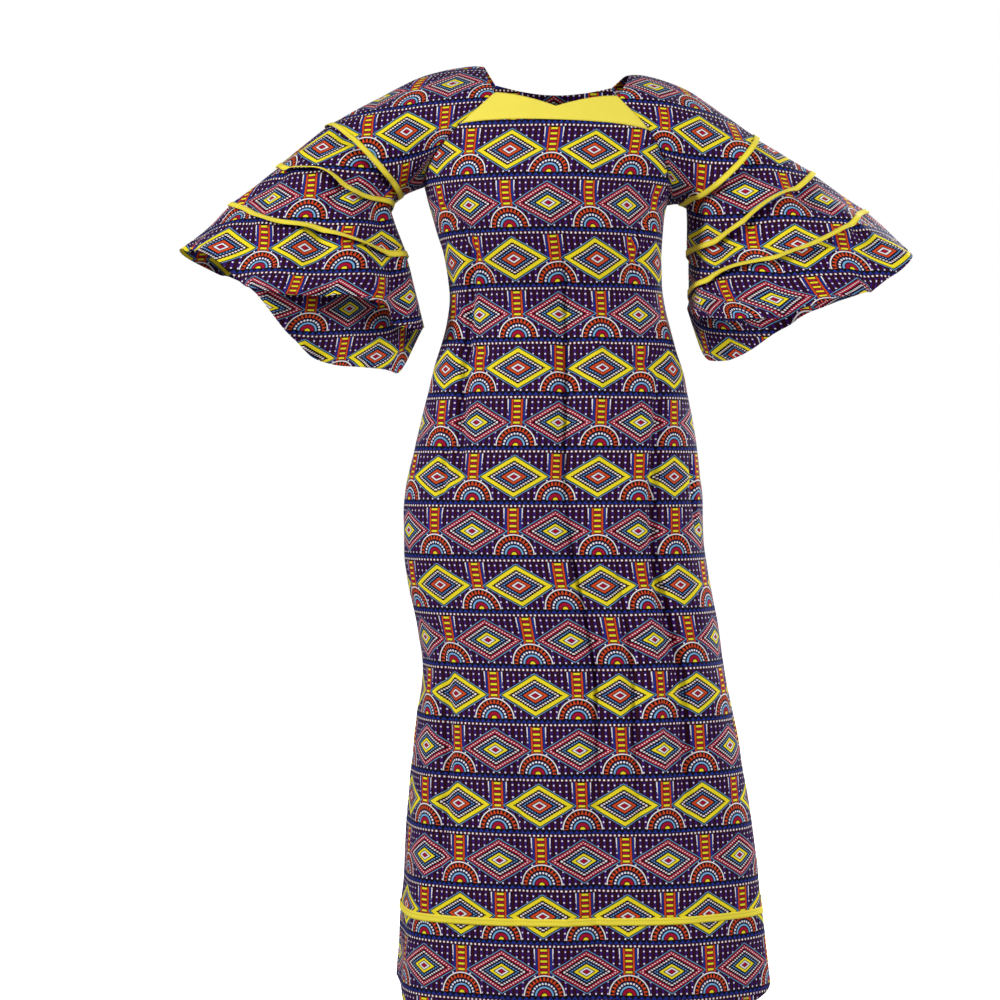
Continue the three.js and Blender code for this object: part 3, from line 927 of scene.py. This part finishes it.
def panel_relief(name):
    def relief(u, v, at, place):
        dip = seam_dip(min(u, 1 - u) * PANEL_WIDTH)
        return crease_height(CREASES[name], at.x, at.y) + dip + body_waves(place)

    return relief


def insert_relief(u, v, at, place):
    return seam_dip(min(u, 1 - u) * INSERT_WIDTH) + ripple(place, 60, 1.0)


panel(
    "front_panel",
    front_point,
    columns=132,
    rows=264,
    relief=panel_relief("front_panel"),
    finish=PRINTED,
)
panel(
    "back_panel",
    back_point,
    columns=132,
    rows=268,
    relief=panel_relief("back_panel"),
    finish=PRINTED,
)
panel(
    "neck_insert",
    insert_point,
    columns=90,
    rows=24,
    relief=insert_relief,
    finish=PLAIN_YELLOW,
)


# Soft troughs and ridges of the tiers, deepest at their lower edges: turn and width in degrees round
# the sleeve, 90 in front and 270 behind, lean the turn gained towards the edge, and depth in millimetres.
FLUTE_COLUMNS = ("turn", "lean", "width", "depth")
FLUTE_ROWS = {
    ("right", 0): ((38, 6, 10, -4), (62, -4, 14, 3), (112, 8, 9, -3), (250, -6, 12, -4), (300, 8, 10, -3)),
    ("right", 1): (
        (40, -6, 9, -5), (74, 5, 8, -5), (98, 0, 12, 3.5), (132, 8, 8, -4), (232, -5, 11, -5),
        (292, 7, 9, -4),
    ),
    ("right", 2): (
        (34, -4, 8, -6), (58, 0, 10, 4), (80, 5, 7, -7), (116, -6, 9, -5), (140, 3, 10, 3),
        (222, 4, 9, -6), (262, -5, 10, 4), (306, 6, 8, -6),
    ),
    ("right", 3): (
        (30, 4, 7, -7), (52, -4, 8, 5), (72, 5, 6, -9), (100, 0, 8, 6), (122, -6, 6, -8),
        (146, 2, 7, -4), (214, 5, 8, -7), (246, -4, 8, 5), (274, 6, 7, -8), (318, -6, 8, -6),
    ),
    ("left", 0): ((36, -5, 11, -4), (70, 6, 12, 3), (118, -6, 9, -3), (246, 6, 12, -4), (304, -6, 10, -3)),
    ("left", 1): (
        (44, 5, 9, -5), (82, -5, 8, -4), (104, 0, 11, 3.5), (136, -7, 8, -5), (236, 6, 11, -5),
        (288, -7, 9, -4),
    ),
    ("left", 2): (
        (32, 5, 8, -6), (60, 0, 10, 4), (88, -6, 7, -6), (110, 5, 9, 3), (132, 6, 7, -6),
        (226, -4, 9, -6), (266, 5, 10, 4), (310, -6, 8, -5),
    ),
    ("left", 3): (
        (28, -4, 7, -6), (50, 5, 8, 5), (76, -5, 6, -8), (96, 2, 8, 5), (118, 6, 6, -9),
        (144, -3, 7, -5), (210, -5, 8, -6), (242, 4, 8, 5), (278, -6, 7, -8), (314, 6, 8, -5),
    ),
}
TIER_FLUTES = {key: named(FLUTE_COLUMNS, rows) for key, rows in FLUTE_ROWS.items()}
FLUTE_BOLDNESS = 1.5  # times the depths in the table
FLUTES_FREE = 0.3  # a flounce hangs free up to this share of its height,
FLUTES_HELD = 0.62  # and follows the tier above from this one
LIFT = 10.5
LIFT_SHARE = 0.45  # of a tier's height, up to which its edge stands off


def tier_lift(turn, v):
    """In front and behind, a tier's edge stands a little off the tier below."""
    return LIFT * math.sin(2 * math.pi * turn) ** 2 * (1 - smoothstep(v, 0, LIFT_SHARE))


def tier_flutes(side, tier, turn, v):
    """How far the flutes stand out: a tier follows the one above where it is sewn under it."""
    hang = 1 - smoothstep(v, 0.05, FLUTES_HELD)
    height = 0
    for flute in TIER_FLUTES[side, tier]:
        off = (360 * turn - flute["turn"] - flute["lean"] * (1 - v)) / flute["width"]
        if abs(off) < 3:
            height += FLUTE_BOLDNESS * flute["depth"] * math.exp(-off * off) * hang
    if tier > 0 and v > FLUTES_FREE:
        height += tier_flutes(side, tier - 1, turn, 0) * smoothstep(v, FLUTES_FREE, FLUTES_HELD)
    return height


BAND_ROWS = 6


def sleeve_tier(side, tier):
    sign = SIDE_SIGN[side]
    along, out, _ = ring_axes(side, tier)
    flat_out = Vector((out.x, 0, out.z))
    name = f"sleeve_{side}" if tier == 0 else f"flounce_{tier}_{side}"
    columns, rows = (208, 60) if tier == 0 else (248, 36)

    def point(u, v):
        return tier_point(side, tier, (sign * u) % 1, v)

    def relief(u, v, at, place):
        turn = (sign * u) % 1
        waves = ripple(place, 62, 1.8) + ripple(place + Vector((0, 400, 0)), 27, 0.5)
        height = waves + tier_flutes(side, tier, turn, v)
        if tier < 3:
            height += tier_lift(turn, v)
        return height + (seam_dip((1 - v) * SLEEVE_LENGTH) if tier == 0 else 0)

    def mapped(place, grid_rows):
        bm, lines = sheet_grid(place, columns, grid_rows)
        map_cloth(
            bm,
            lines,
            start=lambda vert: Vector((vert.co.x, 0, vert.co.z)),
            along=lambda way: along,
            out=flat_out,
        )
        return bm

    finish_piece(
        name, mapped(point, rows), True, relief, CLOTH_WALL, PRINTED
    )
    if tier == 3:
        return
    steps = SLEEVE_STEPS if tier == 0 else FLOUNCE_STEPS

    def band_point(u, v):
        return point(u, v / steps)

    def band_relief(u, v, at, place):
        return BAND_LIFT + relief(u, v / steps, at, place)

    finish_piece(
        f"band_{tier + 1}_{side}",
        mapped(band_point, BAND_ROWS),
        True,
        band_relief,
        BAND_WALL,
        BAND_YELLOW,
    )


def hem_band():
    bm, lines = sheet_grid(hem_band_point, 264, BAND_ROWS)
    map_cloth(
        bm,
        lines,
        start=lambda vert: Vector((0, 0, vert.co.z)),
        along=lambda way: RIGHT * way,
        out=UP,
    )

    def relief(u, v, at, place):
        """Follows the panels' creases: the back's are measured from its own middle."""
        if 0.25 <= u <= 0.75:
            creases, across = CREASES["front_panel"], at.x
        else:
            creases, across = CREASES["back_panel"], at.x - math.copysign(HEM_BAND_HALF, at.x)
        return BAND_LIFT + crease_height(creases, across, at.y) + body_waves(place)

    finish_piece("hem_band", bm, True, relief, BAND_WALL, BAND_YELLOW)


for side in ("right", "left"):
    for tier in range(4):
        sleeve_tier(side, tier)
hem_band()


# ---------------------------------------------------------------- studio
FLOOR_RADIUS, FLOOR_DROP = 14, 0.04  # metres, and how far it lies under the hem
FLOOR_GLOW = 0.95
ROOM_LIGHT = 0.31
EYE, AIM, LENS = Vector((-0.082, -4.0, -0.600)), Vector((-0.082, 0, -0.643)), 92.9
LIGHT_COLUMNS = ("name", "place", "aim", "size", "power")
LIGHTS = (
    ("key_light", (-3.4, -2.0, 1.0), (0, 0, -0.6), 0.5, 118),
    ("fill_light", (3.2, -2.4, 0.5), (0, 0, -0.7), 1.0, 84),
    ("back_light", (2.6, 2.8, 1.2), (0, 0, -0.6), 1.2, 120),
)


def floor():
    bm = bmesh.new()
    bmesh.ops.create_circle(bm, cap_ends=True, segments=96, radius=FLOOR_RADIUS)
    mesh = bpy.data.meshes.new("studio_floor")
    bm.to_mesh(mesh)
    bm.free()
    plane = bpy.data.objects.new("studio_floor", mesh)
    plane.location.z = CAD_BOX[0][2] - FLOOR_DROP
    plane.visible_diffuse = False  # the floor is bright, and doesn't light the cloth from below
    plane.visible_glossy = False
    bpy.context.scene.collection.objects.link(plane)
    dye = Dye("studio_floor_paint")
    surface = dye.node(
        "ShaderNodeBsdfPrincipled",
        values={
            "Base Color": (0.9, 0.9, 0.9, 1),
            "Roughness": 0.95,
            "Specular IOR Level": 0.0,
            "Emission Color": (1, 1, 1, 1),
            "Emission Strength": FLOOR_GLOW,
        },
    )
    dye.node("ShaderNodeOutputMaterial", values={"Surface": surface})
    mesh.materials.append(dye.material)


def soft_light(name, place, aim, size, power):
    lamp = bpy.data.lights.new(name, "AREA")
    lamp.shape = "DISK"
    lamp.size = size
    lamp.energy = power
    light = bpy.data.objects.new(name, lamp)
    light.location = place
    light.rotation_euler = (Vector(aim) - Vector(place)).to_track_quat("-Z", "Y").to_euler()
    bpy.context.scene.collection.objects.link(light)


def camera():
    data = bpy.data.cameras.new("studio_camera")
    data.sensor_width = 36
    data.lens = LENS
    view = bpy.data.objects.new("studio_camera", data)
    view.location = EYE
    view.rotation_euler = (AIM - EYE).to_track_quat("-Z", "Y").to_euler()
    bpy.context.scene.collection.objects.link(view)
    bpy.context.scene.camera = view


def room():
    """A white room as the camera sees it, and a dimmer one as it lights the cloth."""
    world = bpy.data.worlds.new("studio_room")
    world.use_nodes = True
    nodes, links = world.node_tree.nodes, world.node_tree.links
    walls = nodes["Background"]
    walls.inputs["Color"].default_value = (1, 1, 1, 1)
    walls.inputs["Strength"].default_value = ROOM_LIGHT
    backdrop = nodes.new("ShaderNodeBackground")
    backdrop.inputs["Color"].default_value = (1, 1, 1, 1)
    seen = nodes.new("ShaderNodeLightPath")
    both = nodes.new("ShaderNodeMixShader")
    links.new(seen.outputs["Is Camera Ray"], both.inputs[0])
    links.new(walls.outputs[0], both.inputs[1])
    links.new(backdrop.outputs[0], both.inputs[2])
    links.new(both.outputs[0], nodes["World Output"].inputs["Surface"])
    bpy.context.scene.world = world
    bpy.context.scene.view_settings.view_transform = "Standard"


floor()
room()
camera()
for light in named(LIGHT_COLUMNS, LIGHTS):
    soft_light(**light)
